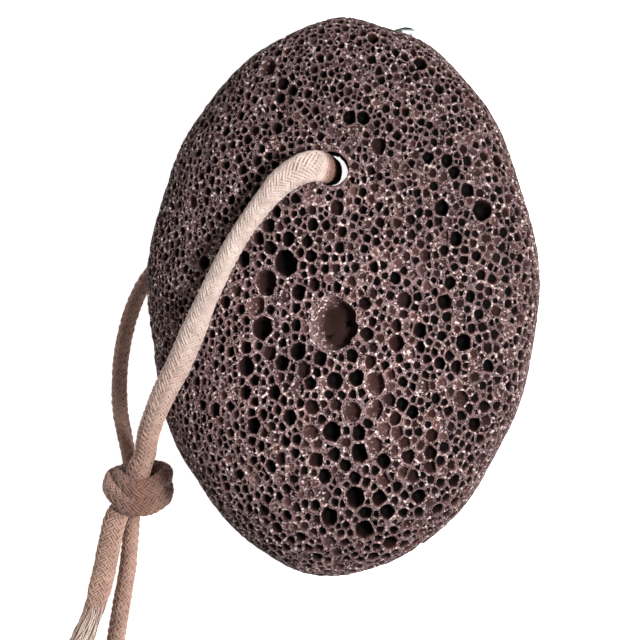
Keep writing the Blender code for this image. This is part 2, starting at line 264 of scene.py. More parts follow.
# The two wraps of the knot, round both strands
KNOT_ROUTE = (
    (-39.0, -33.4, 2.6), (-40.8, -33.3, 4.2), (-40.3, -34.1, 6.4), (-37.9, -35.3, 7.9),
    (-35.0, -35.1, 7.7), (-32.6, -33.6, 5.9), (-32.5, -32.5, 3.4), (-35.6, -32.2, 1.9),
    (-39.6, -32.8, 1.9), (-42.3, -34.0, 3.6), (-41.9, -35.8, 6.2), (-39.2, -38.0, 7.4),
    (-35.6, -38.3, 7.2), (-32.6, -36.8, 5.4), (-32.3, -35.4, 3.0), (-35.2, -35.6, 1.8),
    (-38.6, -36.8, 1.9),
)
LEFT_TAIL_ROUTE = (
    (-38.4, -36.4, 4.6), (-39.7, -38.4, 5.0), (-41.2, -40.4, 5.0), (-42.2, -43.8, 4.2),
    (-42.9, -47.0, 2.9), (-43.6, -50.4, 2.1), (-44.4, -53.6, 2.1), (-45.2, -56.6, 2.1),
    (-46.3, -59.8, 2.1), (-47.6, -63.0, 2.1), (-49.2, -66.4, 2.1), (-51.2, -69.8, 2.1),
)
RIGHT_TAIL_ROUTE = (
    (-38.2, -36.6, 2.6), (-38.2, -38.8, 2.2), (-38.5, -41.0, 2.1), (-38.8, -45.0, 2.1),
    (-39.3, -49.9, 2.1), (-40.0, -54.2, 2.1), (-40.7, -58.2, 2.1), (-41.4, -62.5, 2.1),
    (-42.3, -67.0, 2.1), (-43.6, -71.4, 2.1), (-45.6, -75.8, 2.1),
)
# How far from the route's end each tail's braid comes undone
LEFT_FRAY = 14.0 * MM
RIGHT_FRAY = 3.0 * MM
FRAY_STRANDS = 190


def colour(code):
    """Linear colour of an sRGB hex code."""
    parts = [int(code[i:i + 2], 16) / 255 for i in (0, 2, 4)]
    linear = [c / 12.92 if c <= 0.04045 else ((c + 0.055) / 1.055) ** 2.4 for c in parts]
    return (*linear, 1.0)


class Look:
    """A material as it grows. Inputs are plain values or the sockets that feed them."""

    def __init__(self, name):
        self.material = bpy.data.materials.new(name)
        self.material.use_nodes = True
        self.material.node_tree.nodes.clear()

    def add(self, kind, inputs, **settings):
        """Adds one shader node."""
        tree = self.material.node_tree
        node = tree.nodes.new("ShaderNode" + kind)
        for name, value in settings.items():
            setattr(node, name, value)
        for name, value in inputs.items():
            if isinstance(value, bpy.types.NodeSocket):
                tree.links.new(value, node.inputs[name])
            else:
                node.inputs[name].default_value = value
        return node

    def place(self, kind="Object"):
        return self.add("TexCoord", {}).outputs[kind]

    def attribute(self, name):
        return self.add("Attribute", {}, attribute_name=name).outputs["Fac"]

    def noise(self, place, scale, detail):
        return self.add("TexNoise", {"Vector": place, "Scale": scale, "Detail": detail}).outputs["Fac"]

    def math(self, operation, *values, clamp=False):
        node = self.add("Math", dict(enumerate(values)), operation=operation, use_clamp=clamp)
        return node.outputs[0]

    def remap(self, value, start, end, low=0.0, high=1.0):
        """Brings a value from one range to another and holds it at the ends."""
        return self.add("MapRange", {"Value": value, "From Min": start, "From Max": end,
                                     "To Min": low, "To Max": high}).outputs[0]

    def mix(self, share, first, second, blend="MIX"):
        node = self.add("Mix", {0: share, 6: first, 7: second}, data_type="RGBA", blend_type=blend)
        return node.outputs[2]

    def ramp(self, factor, *stops):
        """A colour ramp through stops, each a place and a hex code."""
        node = self.add("ValToRGB", {0: factor})
        elements = node.color_ramp.elements
        while len(elements) < len(stops):
            elements.new(0.5)
        for element, (place, code) in zip(elements, stops):
            element.position = place
            element.color = colour(code)
        return node.outputs["Color"]

    def bump(self, height, strength, distance):
        return self.add("Bump", {"Height": height, "Strength": strength,
                                 "Distance": distance}).outputs[0]

    def finish(self, inputs):
        shader = self.add("BsdfPrincipled", inputs)
        self.add("OutputMaterial", {"Surface": shader.outputs[0]})
        return self.material


def new_piece(name, verts, faces, material, smooth=False, **point_values):
    """A mesh object, smooth all over or face by face, with named values on its points."""
    mesh = bpy.data.meshes.new(name)
    mesh.from_pydata(verts, [], faces)
    mesh.materials.append(material)
    mesh.polygons.foreach_set("use_smooth", np.broadcast_to(smooth, len(faces)).tolist())
    for key, values in point_values.items():
        mesh.attributes.new(key, "FLOAT", "POINT").data.foreach_set("value", values)
    piece = bpy.data.objects.new(name, mesh)
    bpy.context.scene.collection.objects.link(piece)
    return piece


# The stone's bare surface


def unit(vectors):
    return vectors / np.linalg.norm(vectors, axis=1)[:, None]


def around(angle, first_degrees, values):
    """Smooth mix of four values that hold a quarter turn apart, the first at first_degrees."""
    total = np.zeros_like(angle)
    for quarter, value in enumerate(values):
        facing = np.cos(angle - math.radians(first_degrees + 90 * quarter))
        total += value * np.maximum(0.0, facing) ** 2
    return total


def unevenness(points):
    x, y, z = (points / WAVE_LENGTH * math.tau).T
    return WAVE_HEIGHT * (np.sin(x + 1.3 * y + 0.4) + np.sin(1.7 * x - 0.8 * y + 2.1 * z + 2.0))


def stone_points(directions):
    """Places on the bare stone, still uncentred, of points of the unit ball."""
    angle = np.arctan2(directions[:, 1], directions[:, 0])
    flat = np.hypot(directions[:, 0], directions[:, 1])
    rise = np.abs(directions[:, 2])
    up = directions[:, 2] > 0
    power = np.where(up, around(angle, 0, FACE_POWERS), around(angle, 0, UNDER_POWERS))
    stretch = (flat ** power + rise ** power) ** (-1 / power)
    reach = (flat * stretch)[:, None]
    corner = around(angle, 45, OUTLINE_POWERS)
    across = np.abs(np.cos(angle)) / HALF_WIDTH
    along = np.abs(np.sin(angle)) / HALF_LENGTH
    radius = (across ** corner + along ** corner) ** (-1 / corner)
    rim = np.stack([radius * np.cos(angle), radius * np.sin(angle), around(angle, 0, RIM_HEIGHTS)], 1)
    middle = np.where(up[:, None], FACE_MIDDLE, UNDER_MIDDLE)
    points = middle + (rim - middle) * reach
    points[:, 2] = rim[:, 2] + (middle[:, 2] - rim[:, 2]) * rise * stretch
    return points + directions * unevenness(points)[:, None]


class Stone:
    """The bare stone as a fine mesh, for sampling it and for finding its surface."""

    def __init__(self):
        bm = bmesh.new()
        bmesh.ops.create_cube(bm, size=2.0)
        bmesh.ops.subdivide_edges(bm, edges=bm.edges, cuts=BASE_CUTS, use_grid_fill=True)
        bmesh.ops.triangulate(bm, faces=bm.faces)
        cube = np.array([vert.co[:] for vert in bm.verts])
        ball = np.tan(cube * math.pi / 4)
        self.directions = unit(ball)
        raw = stone_points(self.directions)
        self.shift = 0.5 * (raw.min(0) + raw.max(0)) * (1, 1, 0)
        self.points = self.settle(raw)
        for vert, place in zip(bm.verts, self.points):
            vert.co = place
        bm.normal_update()
        self.normals = np.array([vert.normal[:] for vert in bm.verts])
        self.corners = np.array([[vert.index for vert in face.verts] for face in bm.faces])
        self.tree = BVHTree.FromBMesh(bm)
        bm.free()

    def settle(self, raw):
        """Points of the bare stone centred, with its sag and its worn place, lying on z = 0."""
        points = raw - self.shift
        sag = SAG_DEPTH * np.exp(-((points[:, 0] - SAG_PLACE) / SAG_WIDTH) ** 2)
        worn = WORN_DEPTH * np.exp(-((points[:, 0] - WORN_PLACE) / WORN_WIDTH) ** 2)
        points[:, 1] -= sag + worn * np.clip(points[:, 1] / HALF_LENGTH, 0, 1)
        points[:, 2] = np.maximum(points[:, 2], 0.0)
        return points

    def sample(self, count, numbers):
        """Random places on the surface: directions, points and normals."""
        a, b, c = (self.points[self.corners[:, k]] for k in range(3))
        areas = np.linalg.norm(np.cross(b - a, c - a), axis=1)
        picks = numbers.choice(len(areas), count, p=areas / areas.sum())
        u, v = numbers.random((2, count, 1))
        u, v = np.where(u + v > 1, 1 - u, u), np.where(u + v > 1, 1 - v, v)
        corners = self.corners[picks]
        directions, normals = (
            unit(values[corners[:, 0]] * (1 - u - v) + values[corners[:, 1]] * u
                 + values[corners[:, 2]] * v) for values in (self.directions, self.normals))
        return directions, self.settle(stone_points(directions)), normals

    def under_camera(self, x, y):
        """Where the camera's ray through a seen place meets the stone."""
        eye = VIEW_MIDDLE + Vector((0, 0, CAMERA_HEIGHT))
        aim = Vector((x, y, VIEW_LEVEL)) - eye
        return self.tree.ray_cast(eye, aim.normalized())[0]

    def direction_of(self, place):
        """Direction on the unit ball of a place on the surface, from the nearest triangle."""
        _, _, index, _ = self.tree.find_nearest(place)
        corners = self.corners[index]
        a, b, c = (self.points[k] for k in corners)
        base = np.stack([b - a, c - a], 1)
        shares, *_ = np.linalg.lstsq(base, np.array(place) - a, rcond=None)
        weights = np.array([1 - shares.sum(), *shares])
        direction = weights @ self.directions[corners]
        normal = weights @ self.normals[corners]
        return direction / np.linalg.norm(direction), normal / np.linalg.norm(normal)


# Bubbles packed on the surface


class Bubbles:
    """Bubbles that touch but don't overlap, with a grid that finds their neighbours.

    They are packed as round ones in a space that is squeezed along the stone, so that the real
    ones come out drawn out along it.
    """

    CELL = 1.2 * MM

    def __init__(self):
        self.points, self.packed, self.normals, self.directions = [], [], [], []
        self.radii, self.darkness = [], []
        self.grid = {}

    def key(self, point):
        return tuple(int(math.floor(value / self.CELL)) for value in point)

    def fits(self, point, radius):
        x, y, z = squeezed(point)
        for other in self.grid.get(self.key((x, y, z)), ()):
            ox, oy, oz = self.packed[other]
            room = radius + self.radii[other]
            if (x - ox) ** 2 + (y - oy) ** 2 + (z - oz) ** 2 < room * room:
                return False
        return True

    def place(self, point, normal, direction, radius, darkness, largest_next):
        index = len(self.points)
        self.points.append(tuple(map(float, point)))
        self.packed.append(squeezed(point))
        self.normals.append(tuple(map(float, normal)))
        self.directions.append(tuple(map(float, direction)))
        self.radii.append(float(radius))
        self.darkness.append(darkness)
        reach = radius + largest_next
        low = self.key([value - reach for value in self.packed[-1]])
        high = self.key([value + reach for value in self.packed[-1]])
        for cell in itertools.product(*(range(a, b + 1) for a, b in zip(low, high))):
            self.grid.setdefault(cell, []).append(index)


def squeezed(point):
    return tuple(float(value) * scale for value, scale in zip(point, GRAIN))


def coarseness(point, normal):
    """How coarse the foam is: fine on the left, coarser low on the face, coarsest underneath."""
    x, y, _ = point
    low_middle = math.exp(-((x - 2 * MM) / (18 * MM)) ** 2 - ((y + 24 * MM) / (24 * MM)) ** 2)
    left = 1 / (1 + math.exp((x + 20 * MM) / (4 * MM)))
    high = 1 / (1 + math.exp((26 * MM - y) / (6 * MM)))
    face = 1 + (COARSE_FACE - 1) * low_middle - (1 - FINE_SIDE) * max(left, 0.7 * high)
    under = 1 / (1 + math.exp((normal[2] + 0.35) / 0.1))
    return face + (COARSE_UNDER - face) * under


def in_patch(point):
    """Whether a place lies in one of the patches of fine matter that few pits open."""
    return noise.noise(Vector(point) / PATCH_SIZE) > PATCH_LEVEL


def pit_darkness(chance):
    """How deep one small pit is, and how dark the shade painted inside it."""
    kind = chance.random()
    if kind < DEEP_SHARE:
        return chance.uniform(0.9, 1.0)
    if kind < DEEP_SHARE + MIDDLE_SHARE:
        return chance.uniform(0.55, 0.85)
    return chance.uniform(0.15, 0.5)


def pack_bubbles(stone):
    chance = random.Random(FOAM_SEED)
    numbers = np.random.default_rng(FOAM_SEED)
    bubbles = Bubbles()
    first = BUBBLE_RADII[0] * COARSE_UNDER * MM
    for height, radius in ((1, HOLE_RADIUS + WALL_HALF), (-1, BREAKOUT_RADIUS)):
        place = stone.tree.ray_cast(HOLE_PLACE + Vector((0, 0, height)), Vector((0, 0, -height)))[0]
        direction, _ = stone.direction_of(place)
        bubbles.place(place, (0, 0, height), direction, radius, 1.0, first)
    for x, y, width, length, darkness in SEEN_PITS:
        place = stone.under_camera(x * MM, y * MM)
        radius = 0.25 * (width + length * GRAIN.y) * MM
        direction, normal = stone.direction_of(place)
        bubbles.place(place, normal, direction, radius, darkness, first)
    for radius, tries in zip(BUBBLE_RADII, BUBBLE_TRIES):
        directions, points, normals = stone.sample(tries, numbers)
        for direction, point, normal in zip(directions, points, normals):
            coarse = coarseness(point, normal)
            if radius > LARGEST_RANDOM and normal[2] > 0.2 and coarse < LARGE_COARSENESS:
                continue
            if radius < 0.6 and in_patch(point) and chance.random() > PATCH_PITS:
                continue
            size = radius * MM * coarse * chance.uniform(0.86, 1.10)
            if bubbles.fits(point, size):
                bubbles.place(point, normal, direction, size, pit_darkness(chance), size * 1.2)
    return bubbles


# The walls between bubbles


def hull_triangles(directions):
    """Triangles joining neighbouring bubbles: the convex hull of their directions."""
    bm = bmesh.new()
    verts = [bm.verts.new(direction) for direction in directions]
    bm.verts.index_update()
    bmesh.ops.convex_hull(bm, input=verts)
    bmesh.ops.triangulate(bm, faces=bm.faces)
    triangles = []
    for face in bm.faces:
        a, b, c = (vert.index for vert in face.verts)
        pa, pb, pc = (Vector(directions[k]) for k in (a, b, c))
        if (pb - pa).cross(pc - pa).dot(pa + pb + pc) < 0:
            b, c = c, b
        triangles.append([a, b, c])
    bm.free()
    return triangles


def link_triangles(triangles):
    """For each triangle, the one across from each of its corners."""
    owner = {}
    across = [[-1, -1, -1] for _ in triangles]
    for index, corners in enumerate(triangles):
        for k in range(3):
            edge = (corners[(k + 1) % 3], corners[(k + 2) % 3])
            twin = owner.get((edge[1], edge[0]))
            if twin is not None:
                across[index][k] = twin[0]
                across[twin[0]][twin[1]] = index
            owner[edge] = (index, k)
    return across


def laid_flat(points, a, b, c):
    """Triangle a, b, c laid in a plane with a at 0 and b along X: b's x, and c's x and y."""
    ax, ay, az = points[a]
    bx, by, bz = points[b][0] - ax, points[b][1] - ay, points[b][2] - az
    cx, cy, cz = points[c][0] - ax, points[c][1] - ay, points[c][2] - az
    length = math.sqrt(bx * bx + by * by + bz * bz)
    x = (bx * cx + by * cy + bz * cz) / length
    y = math.sqrt(max(1e-18, cx * cx + cy * cy + cz * cz - x * x))
    return length, x, y


def lifted_plane(points, weights, a, b, c):
    """Slopes along and across the flat triangle of the plane through its lifted corners."""
    length, cx, cy = laid_flat(points, a, b, c)
    slope = (length * length - weights[b] + weights[a]) / length
    return slope, (cx * cx + cy * cy - weights[c] - slope * cx + weights[a]) / cy


def must_flip(points, weights, a, b, c, d):
    """Whether edge a-b between corners c and d should run from c to d instead."""
    length, cx, cy = laid_flat(points, a, b, c)
    _, dx, dy = laid_flat(points, a, b, d)
    dy = -dy
    crossing = cx + (dx - cx) * cy / (cy - dy)
    if not 0.02 * length < crossing < 0.98 * length:
        return False
    slope, tilt = lifted_plane(points, weights, a, b, c)
    lifted = dx * dx + dy * dy - weights[d]
    return lifted < slope * dx + tilt * dy - weights[a] - 1e-12


def flip_edges(triangles, points, weights):
    """Turns edges until every triangle joins three bubbles that are true neighbours."""
    across = link_triangles(triangles)
    stack = [(index, k) for index in range(len(triangles)) for k in range(3)]
    budget = 40 * len(triangles)
    while stack and budget:
        budget -= 1
        one, k = stack.pop()
        two = across[one][k]
        if two < 0:
            continue
        c = triangles[one][k]
        a, b = triangles[one][(k + 1) % 3], triangles[one][(k + 2) % 3]
        other = next(i for i in range(3) if triangles[two][i] not in (a, b))
        d = triangles[two][other]
        if c == d or not must_flip(points, weights, a, b, c, d):
            continue
        beside_bc = across[one][(k + 1) % 3]
        beside_ca = across[one][(k + 2) % 3]
        at_a = triangles[two].index(a)
        at_b = triangles[two].index(b)
        beside_db = across[two][at_a]
        beside_ad = across[two][at_b]
        if c in triangles[beside_db] or c in triangles[beside_ad]:
            if beside_db in (beside_bc, beside_ca) or beside_ad in (beside_bc, beside_ca):
                continue
        triangles[one] = [c, a, d]
        across[one] = [beside_ad, two, beside_ca]
        triangles[two] = [d, b, c]
        across[two] = [beside_bc, one, beside_db]
        for near, was, now in ((beside_ad, two, one), (beside_bc, one, two)):
            spot = next(i for i in range(3)
                        if across[near][i] == was and triangles[near][i] not in (a, b, c, d))
            across[near][spot] = now
        for index in (one, two):
            stack.extend((index, i) for i in range(3))
    return across


def wall_corners(triangles, points, weights, stone):
    """The place in each triangle where three walls meet, on the surface."""
    corners = []
    for a, b, c in triangles:
        slope, tilt = lifted_plane(points, weights, a, b, c)
        start = Vector(points[a])
        along = (Vector(points[b]) - start).normalized()
        side = Vector(points[c]) - start
        side = (side - along * side.dot(along)).normalized()
        place = start + along * slope / 2 + side * tilt / 2
        place = Vector([value / scale for value, scale in zip(place, GRAIN)])
        corners.append(stone.tree.find_nearest(place)[0])
    return corners


def merge_corners(corners, across):
    """One shared number for corners that nearly touch, and the place of each number."""
    group = list(range(len(corners)))

    def root(index):
        while group[index] != index:
            group[index] = group[group[index]]
            index = group[index]
        return index

    for index, near in enumerate(across):
        for other in near:
            if index < other and (corners[index] - corners[other]).length < MERGE_CORNERS:
                group[root(other)] = root(index)
    members = {}
    for index in range(len(corners)):
        members.setdefault(root(index), []).append(index)
    number, places = {}, []
    for indices in members.values():
        for index in indices:
            number[index] = len(places)
        places.append(sum((corners[index] for index in indices), Vector()) / len(indices))
    return [number[index] for index in range(len(corners))], places


def cell_loops(triangles, across, numbers, count):
    """For each bubble, the loop of wall corners round it, anticlockwise seen from outside.

    A bubble that its neighbours leave no room has no loop.
    """
    start = {}
    for index, corners in enumerate(triangles):
        for k in range(3):
            start.setdefault(corners[k], (index, k))
    loops = []
    for bubble in range(count):
        if bubble not in start:
            loops.append([])
            continue
        index, k = start[bubble]
        first, loop = index, []
        while True:
            if not loop or loop[-1] != numbers[index]:
                loop.append(numbers[index])
            index = across[index][(k + 1) % 3]
            k = triangles[index].index(bubble)
            if index == first:
                break
        while len(loop) > 1 and loop[0] == loop[-1]:
            loop.pop()
        loops.append(loop)
    return loops


class Foam:
    """The stone's mesh as it grows: points, faces, and each point's painted shade, darker deeper in a
    pit.
    """

    def __init__(self, places):
        self.verts = [place.copy() for place in places]
        self.depth = [0.0] * len(places)
        self.tone = [0.5] * len(places)
        self.faces = []
        self.smooth = []

    def ring(self, places, depth, tone):
        first = len(self.verts)
        self.verts.extend(places)
        self.depth.extend([depth] * len(places))
        self.tone.extend([tone] * len(places))
        return list(range(first, first + len(places)))

    def strip(self, outer, inner, smooth=False):
        """Joins a ring to one inside it that has as many points, twice as many or half as many."""
        count = min(len(outer), len(inner))
        for k in range(count):
            after = (k + 1) % count
            o, i = outer[k], inner[k]
            if len(outer) == len(inner):
                faces = [(o, outer[after], inner[after], i)]
            elif len(inner) > count:
                a, b, c = inner[2 * k], inner[2 * k + 1], inner[2 * after]
                faces = [(o, outer[after], b), (o, b, a), (outer[after], c, b)]
            else:
                a, b, c = outer[2 * k], outer[2 * k + 1], outer[2 * after]
                faces = [(a, b, i), (b, c, inner[after]), (b, inner[after], i)]
            self.faces += faces
            self.smooth += [smooth] * len(faces)

    def close(self, loop, smooth=False):
        self.faces.append(tuple(loop))
        self.smooth.append(smooth)

    def zip_rings(self, outer, inner, middle):
        """Joins two rings of unlike counts round an upright axis by their angles."""
        def angles(ring):
            turn = [math.atan2(self.verts[i].y - middle.y, self.verts[i].x - middle.x) for i in ring]
            order = sorted(range(len(ring)), key=turn.__getitem__)
            return [ring[i] for i in order], [turn[i] for i in order]

        outer, outer_angles = angles(outer)
        inner, inner_angles = angles(inner)
        i = j = 0
        while i < len(outer) or j < len(inner):
            next_outer = outer_angles[i + 1] if i + 1 < len(outer) else outer_angles[0] + math.tau
            next_inner = inner_angles[j + 1] if j + 1 < len(inner) else inner_angles[0] + math.tau
            o, n = outer[i % len(outer)], inner[j % len(inner)]
            if j >= len(inner) or (i < len(outer) and next_outer <= next_inner):
                self.faces.append((o, outer[(i + 1) % len(outer)], n))
                i += 1
            else:
                self.faces.append((o, inner[(j + 1) % len(inner)], n))
                j += 1
            self.smooth.append(False)


def open_pit(foam, loop, bubbles, index, chance):
    """One pit: its share of the walls' tops, its inner wall and its floor."""
    middle, normal = Vector(bubbles.points[index]), Vector(bubbles.normals[index])
    radius, darkness = bubbles.radii[index], bubbles.darkness[index]
    tone = chance.random()
    count = len(loop)
    corners = [foam.verts[k] - middle for k in loop]
    big = radius > BIG_PIT
    round_rim = radius > SMALL_PIT and (normal.z > -0.25 or big)
    spokes = corners
    if round_rim:
        spokes = []
        for k in range(count):
            spokes += [corners[k], (corners[k] + corners[(k + 1) % count]) / 2]
    wall = WALL_HALF * chance.uniform(0.7, 1.4)
    reaches = []
    for spoke in spokes:
        length = Vector(squeezed(spoke)).length
        rim = radius + ROUNDNESS * (length - radius)
        rim = min(rim, WIDEST_RIM * radius, length - wall)
        reaches.append(max(rim * chance.uniform(0.90, 1.02), 0.45 * length) / length)
    bowl = radius > LARGEST_BOWL
    depth = BOWL_DEPTH * radius if bowl else min(radius * (0.45 + 1.15 * darkness), DEEPEST_PIT)
    lean = Vector([chance.gauss(0, 0.10 * radius) for _ in range(3)])
    if round_rim and normal.z > 0.0:
        lean += BOWL_LEAN * radius if bowl else PIT_LEAN * radius * (1.35 - darkness)
    lean -= normal * lean.dot(normal)

    def ring_at(shrink, sink, shade, step=1):
        places = [middle + spoke * reach * shrink - normal * sink + lean * (sink / depth)
                  for spoke, reach in zip(spokes[::step], reaches[::step])]
        return foam.ring(places, shade, tone)

    # painted shade on the pit's floor, the darker the deeper the pit
    floor_shade = 0.15 + 0.85 * darkness
    step = 1
    if bowl:
        rings = BOWL_RINGS
    elif big:
        rings = ((0.90, 0.45, 0.1 + 0.55 * floor_shade), (0.54, 1.0, floor_shade))
    elif round_rim:
        rings = ((0.60, 1.0, floor_shade),)
        step = 2
    else:
        rings = ((0.66, 1.0, floor_shade),)
    # the ring just inside the rim carries a painted highlight, the rings below it painted shade
    before = ring_at(1.0, 0.03 * MM, 0.10)
    foam.strip(loop, before)
    for shrink, sink, shade in rings:
        ring = ring_at(shrink, sink * depth, shade, step)
        # pores in the bowl's floor are sunk and painted black as shade
        for k in ring if bowl else ():
            at = foam.verts[k]
            if any(math.hypot(at.x - x * MM, at.y - y * MM) < BOWL_PORE_RADIUS
                   for x, y in BOWL_PORES):
                foam.verts[k] = at - normal * BOWL_PORE_DEPTH
                foam.depth[k] = 1.0
        foam.strip(before, ring, smooth=round_rim)
        before = ring
    foam.close(before, smooth=big)


def drill_hole(foam, top_loop, bottom_loop, chance):
    """The drilled hole's rough wall, between its two mouths."""
    def mouth(loop, radius, rise):
        places = []
        for index in loop:
            arm = foam.verts[index] - HOLE_PLACE
            height = arm.z
            arm.z = 0
            places.append(HOLE_PLACE + arm.normalized() * radius + Vector((0, 0, height + rise)))
        # the mouths carry some painted shade
        return foam.ring(places, 0.25, 0.5)

    top = mouth(top_loop, HOLE_RADIUS, -0.15 * MM)
    bottom = mouth(bottom_loop, BREAKOUT_RADIUS - 0.2 * MM, 0.15 * MM)
    foam.strip(top_loop, top)
    foam.strip(bottom_loop, bottom)
    high = min(foam.verts[i].z for i in top) - 0.5 * MM
    low = max(foam.verts[i].z for i in bottom) + 0.5 * MM
    before = None
    for level in range(HOLE_LEVELS):
        share = level / (HOLE_LEVELS - 1)
        height = high + (low - high) * share
        flare = max(0.0, 1 - (height - low) / HOLE_FLARE)
        radius = HOLE_RADIUS + (BREAKOUT_RADIUS - 0.4 * MM - HOLE_RADIUS) * flare ** 1.5
        places = []
        for side in range(HOLE_SIDES):
            angle = math.tau * (side + 0.5 * (level % 2)) / HOLE_SIDES - math.pi + 0.01
            rough = radius + chance.choice(HOLE_ROUGHNESS) * MM
            offset = Vector((rough * math.cos(angle), rough * math.sin(angle), height))
            places.append(HOLE_PLACE + offset)
        # the hole's wall carries painted shade
        ring = foam.ring(places, 0.75, 0.5)
        if before is None:
            foam.zip_rings(top, ring, HOLE_PLACE)
        else:
            foam.strip(before, ring)
        before = ring
    foam.zip_rings(before, bottom, HOLE_PLACE)


def make_foam(stone):
    chance = random.Random(FOAM_SEED + 1)
    bubbles = pack_bubbles(stone)
    triangles = hull_triangles(bubbles.directions)
    weights = [radius * radius for radius in bubbles.radii]
    across = flip_edges(triangles, bubbles.packed, weights)
    corners = wall_corners(triangles, bubbles.packed, weights, stone)
    numbers, places = merge_corners(corners, across)
    loops = cell_loops(triangles, across, numbers, len(bubbles.points))
    foam = Foam(places)
    for place in foam.verts:
        normal = stone.tree.find_nearest(place)[1]
        sink = BROKEN_SINK if chance.random() < BROKEN_SHARE else CREST_SINK
        place += normal * chance.uniform(-sink, CREST_RISE)
        place.z = max(place.z, 0.0)
    top_mouth, bottom_mouth, *pits = loops
    for index, loop in enumerate(pits, 2):
        if len(loop) > 2:
            open_pit(foam, loop, bubbles, index, chance)
    drill_hole(foam, top_mouth, bottom_mouth, chance)
    return foam


def make_stone(material):
    foam = make_foam(Stone())
    piece = new_piece("pumice", foam.verts, foam.faces, material, foam.smooth,
                      pit=foam.depth, tone=foam.tone)
    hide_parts("pumice_stone")
    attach(piece, "root")


def make_sliver(material):
    """A faceted sliver of glass, its lower half sunk in the stone."""
    chance = random.Random(FOAM_SEED + 2)
    rim = [Vector((x * MM, y * MM, SLIVER_LEVEL)) for x, y in SLIVER_OUTLINE]
    middle = sum(rim, Vector()) / len(rim)
    verts = list(rim)
    for way in (1, -1):
        for place in rim:
            height = way * SLIVER_HALF * chance.uniform(0.5, 1.0)
            verts.append(middle + (place - middle) * chance.uniform(0.55, 0.8) + Vector((0, 0, height)))
        verts.append(middle + Vector((0, 0, way * SLIVER_HALF)))
    count = len(rim)
    faces = []
    for side in range(count):
        after = (side + 1) % count
        for ring, turn in ((count, 1), (2 * count + 1, -1)):
            faces.append((side, after, ring + after, ring + side)[::turn])
            faces.append((ring + side, ring + after, ring + count)[::turn])
    piece = new_piece("glass_sliver", [tuple(vert) for vert in verts], faces, material)
    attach(piece, "root")


def glass_material():
    """Natural volcanic glass, broken: grey-green and dark along its edges, with white painted
    highlights.
    """
    look = Look("volcanic glass, broken")
    place = look.place()
    cloud = look.noise(place, 900.0, 2.0)
    # grey-green glass with white patches of painted highlight
    shade = look.ramp(cloud, (0.38, "566061"), (0.48, "A9B0B0"), (0.58, "F0F2F2"))
    to_edge = look.remap(look.add("SeparateXYZ", {0: place}).outputs["Y"], *SLIVER_EDGE)
    edged = look.mix(to_edge, shade, colour("343C3D"))
    return look.finish({"Base Color": edged, "Roughness": 0.18, "IOR": 1.5})


def lava_material():
    """Vesicular lava, cut and tumbled: thin pinkish walls round gas pits darkened with painted shade.

    The pits' rims carry a painted highlight. The matter between the pits is itself a fine foam of
    pores with painted shade inside, dotted with painted highlights as glints and specks. The middle of
    the working face has painted light and its rims painted shade.
    """
    look = Look("vesicular lava, cut and tumbled")
    place, pit = look.place(), look.attribute("pit")
    grain = look.add("TexNoise", {"Vector": place, "Scale": 2600.0, "Detail": 2.0, "Roughness": 0.7})
    wander = look.add("VectorMath", {0: grain.outputs["Color"], 1: [0.15 * MM] * 3, 2: place},
                      operation="MULTIPLY_ADD").outputs[0]
    pores = {"Vector": wander, "Scale": FINE_PORES}
    to_pore_edge = look.add("TexVoronoi", pores, feature="DISTANCE_TO_EDGE").outputs["Distance"]
    pore_pick = look.add("TexVoronoi", pores).outputs["Color"]
    speck_pick = look.add("TexVoronoi", {"Vector": place, "Scale": 2700.0}).outputs["Color"]
    pore_pick, speck_pick = (look.add("SeparateColor", {0: pick}).outputs[0]
                             for pick in (pore_pick, speck_pick))

    # a painted highlight along the pits' rims and painted shade from the walls' tops down into the pits,
    # tinted unevenly
    uneven = look.math("MULTIPLY_ADD", grain.outputs["Fac"], 0.16, -0.08)
    base = look.ramp(look.math("ADD", pit, uneven, clamp=True),
                     (0.0, "7C6868"), (0.09, "C2A8A6"), (0.15, "886E6C"), (0.30, "5C4543"),
                     (0.50, "362421"), (0.78, "100909"), (1.0, "030202"))
    tone = look.math("ADD", look.noise(place, 420.0, 3.0), look.attribute("tone"))
    tint = look.ramp(look.remap(tone, 0.35, 1.6), (0.0, "A59DA2"), (0.5, "D4CBCE"), (1.0, "FAEAE3"))
    tinted = look.mix(1.0, base, tint, "MULTIPLY")

    # fine pores in the walls, their insides painted dark as shade
    hollow = look.math("MULTIPLY", look.remap(to_pore_edge, 0.05, 0.16),
                       look.remap(pit, 0.34, 0.10))
    hollow_shade = look.ramp(pore_pick, (0.0, "140C0D"), (0.35, "2C2022"), (0.7, "5A4848"),
                             (1.0, "86706F"))
    pored = look.mix(hollow, tinted, hollow_shade)

    # painted highlights: glints and specks on the walls
    painted_glints = look.math("MAXIMUM", look.remap(speck_pick, 0.935, 0.985),
                       look.remap(look.noise(place, 1500.0, 1.0), 0.62, 0.72, high=0.75))
    painted_glints = look.math("MULTIPLY", painted_glints, look.remap(pit, 0.5, 0.2))
    with_painted_glints = look.mix(painted_glints, pored, colour("EBD5CF"))

    # painted light in the middle of the working face, and painted shade towards its rims
    to_middle = look.add("VectorMath", {0: place, 1: PAINTED_LIGHT_MIDDLE}, operation="DISTANCE")
    painted_light = look.remap(to_middle.outputs["Value"], PAINTED_LIGHT_NEAR, PAINTED_LIGHT_FAR, *PAINTED_LIGHT_SHADES)
    painted_lit = look.add("VectorMath", {0: with_painted_glints, "Scale": painted_light}, operation="SCALE")
    height = look.math("MULTIPLY_ADD", hollow, -1.0, grain.outputs["Fac"])
    return look.finish({"Base Color": painted_lit.outputs["Vector"], "Roughness": 0.70,
                        "Specular IOR Level": 0.06, "Normal": look.bump(height, 0.9, 0.10 * MM)})


# Cords


def square_to(tangents, vectors):
    """Unit vectors square to a path's tangents."""
    return unit(vectors - tangents * (vectors * tangents).sum(1)[:, None])


